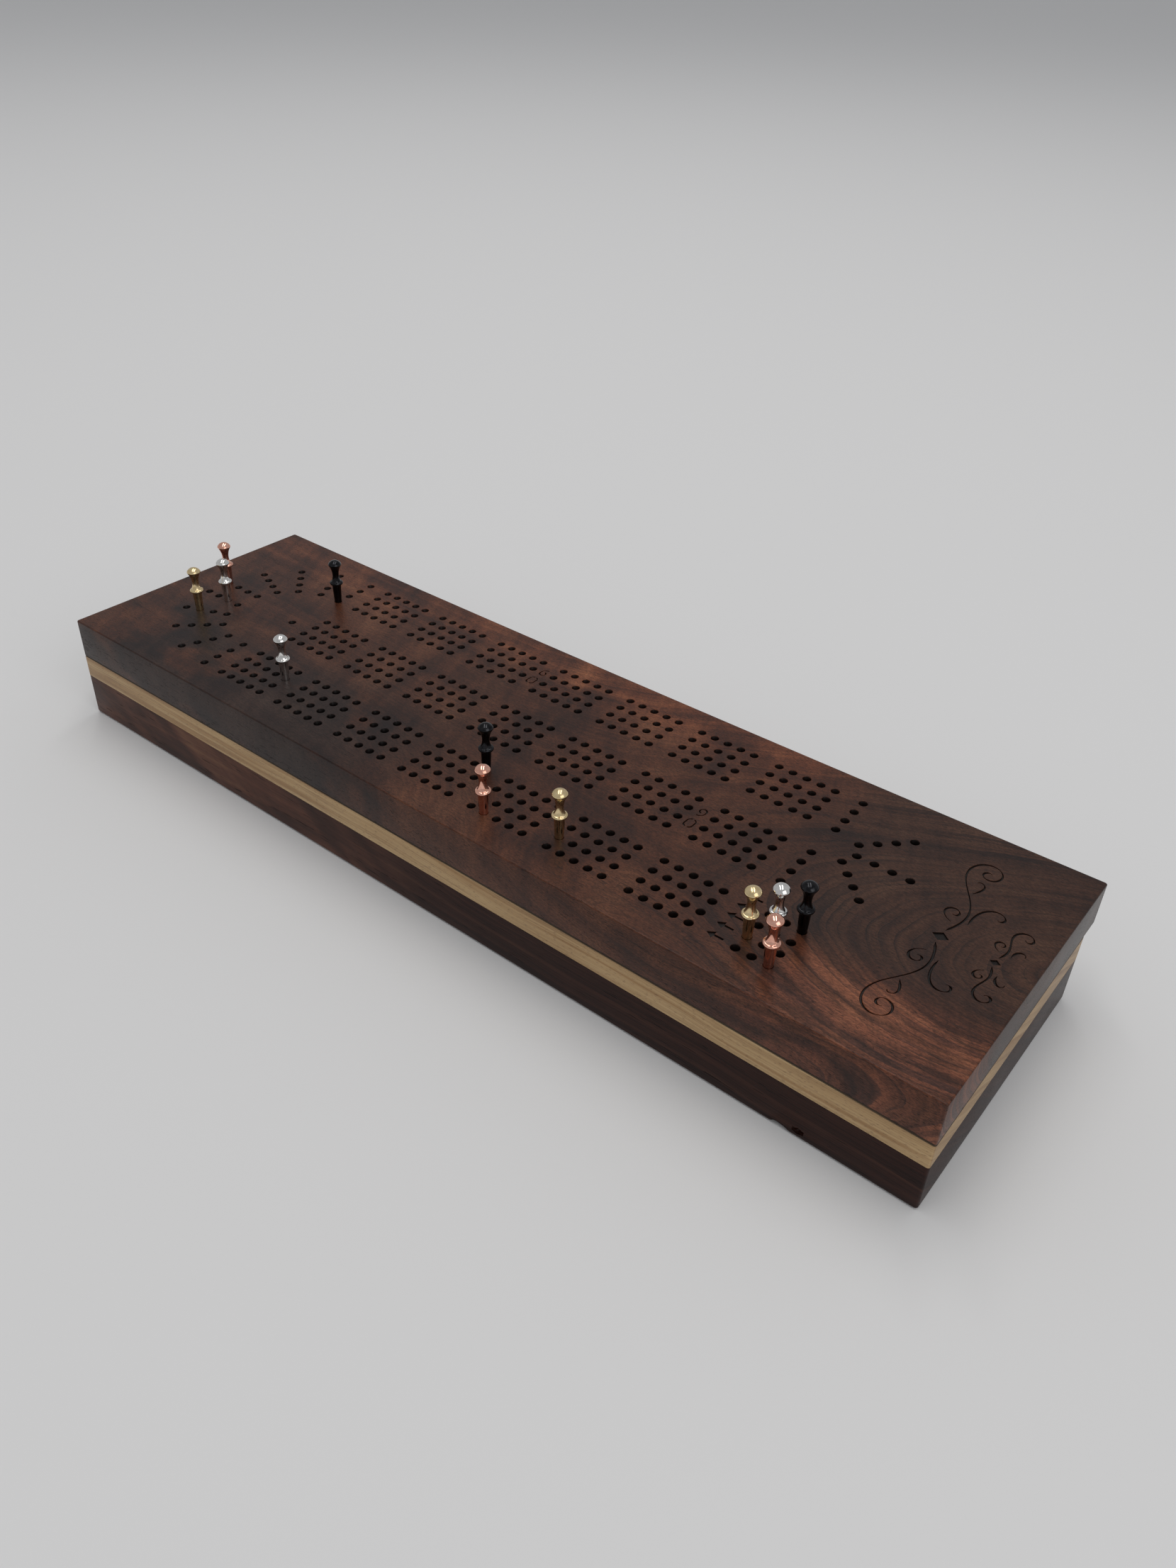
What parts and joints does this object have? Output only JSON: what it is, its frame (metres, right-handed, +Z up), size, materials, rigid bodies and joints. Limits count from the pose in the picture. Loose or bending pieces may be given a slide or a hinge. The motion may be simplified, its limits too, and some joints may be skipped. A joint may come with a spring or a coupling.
{
  "type": "cribbage board",
  "caption": "Long wooden cribbage board: lift-off drilled lid with a three-leg track, laminated storage box under it, and turned metal pegs.",
  "frame": {"origin": "centre of the board's footprint on the surface it stands on (bottom centre of its bounding box)", "axes": "+X along the length, from the big turn towards the start block and the ornament; +Y from the front long side to the back one, where the lid overhangs as a finger lip; +Z up"},
  "size_m": [0.4064, 0.1206, 0.066],
  "materials": {
    "lid_walnut": "oiled walnut, satin gloss, engraved marks burnt dark",
    "band_maple": "oiled light wood with brown streaks, satin",
    "base_walnut": "oiled dark walnut, satin",
    "magnet_nickel": "nickel-plated, bright",
    "peg_copper": "polished, copper-coloured plating",
    "peg_gold": "polished brass",
    "peg_silver": "polished nickel plating",
    "peg_black": "gloss black plating"
  },
  "bodies": {
    "box": {"base_tray": "base_walnut", "light_band": "band_maple", "box_magnet_left_front": "magnet_nickel", "box_magnet_left_back": "magnet_nickel", "box_magnet_right_front": "magnet_nickel", "box_magnet_right_back": "magnet_nickel"},
    "lid": {"lid_board": "lid_walnut", "lid_magnet_left_front": "magnet_nickel", "lid_magnet_left_back": "magnet_nickel", "lid_magnet_right_front": "magnet_nickel", "lid_magnet_right_back": "magnet_nickel"},
    "peg_copper_start": {"peg_copper_start": "peg_copper"},
    "peg_copper_leg": {"peg_copper_leg": "peg_copper"},
    "peg_copper_turn": {"peg_copper_turn": "peg_copper"},
    "peg_gold_start": {"peg_gold_start": "peg_gold"},
    "peg_gold_leg": {"peg_gold_leg": "peg_gold"},
    "peg_gold_turn": {"peg_gold_turn": "peg_gold"},
    "peg_silver_start": {"peg_silver_start": "peg_silver"},
    "peg_silver_leg": {"peg_silver_leg": "peg_silver"},
    "peg_silver_turn": {"peg_silver_turn": "peg_silver"},
    "peg_black_start": {"peg_black_start": "peg_black"},
    "peg_black_leg": {"peg_black_leg": "peg_black"},
    "peg_black_turn": {"peg_black_turn": "peg_black"}
  },
  "joints": [
    {"name": "lid_lift", "type": "slide", "parent": "box", "child": "lid", "axis": [0, 0, 1], "range_m": [0, 0.08]},
    {"name": "peg_copper_start_pull", "type": "slide", "parent": "lid", "child": "peg_copper_start", "axis": [0, 0, 1], "range_m": [0, 0.03]},
    {"name": "peg_copper_leg_pull", "type": "slide", "parent": "lid", "child": "peg_copper_leg", "axis": [0, 0, 1], "range_m": [0, 0.03]},
    {"name": "peg_copper_turn_pull", "type": "slide", "parent": "lid", "child": "peg_copper_turn", "axis": [0, 0, 1], "range_m": [0, 0.03]},
    {"name": "peg_gold_start_pull", "type": "slide", "parent": "lid", "child": "peg_gold_start", "axis": [0, 0, 1], "range_m": [0, 0.03]},
    {"name": "peg_gold_leg_pull", "type": "slide", "parent": "lid", "child": "peg_gold_leg", "axis": [0, 0, 1], "range_m": [0, 0.03]},
    {"name": "peg_gold_turn_pull", "type": "slide", "parent": "lid", "child": "peg_gold_turn", "axis": [0, 0, 1], "range_m": [0, 0.03]},
    {"name": "peg_silver_start_pull", "type": "slide", "parent": "lid", "child": "peg_silver_start", "axis": [0, 0, 1], "range_m": [0, 0.03]},
    {"name": "peg_silver_leg_pull", "type": "slide", "parent": "lid", "child": "peg_silver_leg", "axis": [0, 0, 1], "range_m": [0, 0.03]},
    {"name": "peg_silver_turn_pull", "type": "slide", "parent": "lid", "child": "peg_silver_turn", "axis": [0, 0, 1], "range_m": [0, 0.03]},
    {"name": "peg_black_start_pull", "type": "slide", "parent": "lid", "child": "peg_black_start", "axis": [0, 0, 1], "range_m": [0, 0.03]},
    {"name": "peg_black_leg_pull", "type": "slide", "parent": "lid", "child": "peg_black_leg", "axis": [0, 0, 1], "range_m": [0, 0.03]},
    {"name": "peg_black_turn_pull", "type": "slide", "parent": "lid", "child": "peg_black_turn", "axis": [0, 0, 1], "range_m": [0, 0.03]}
  ]
}
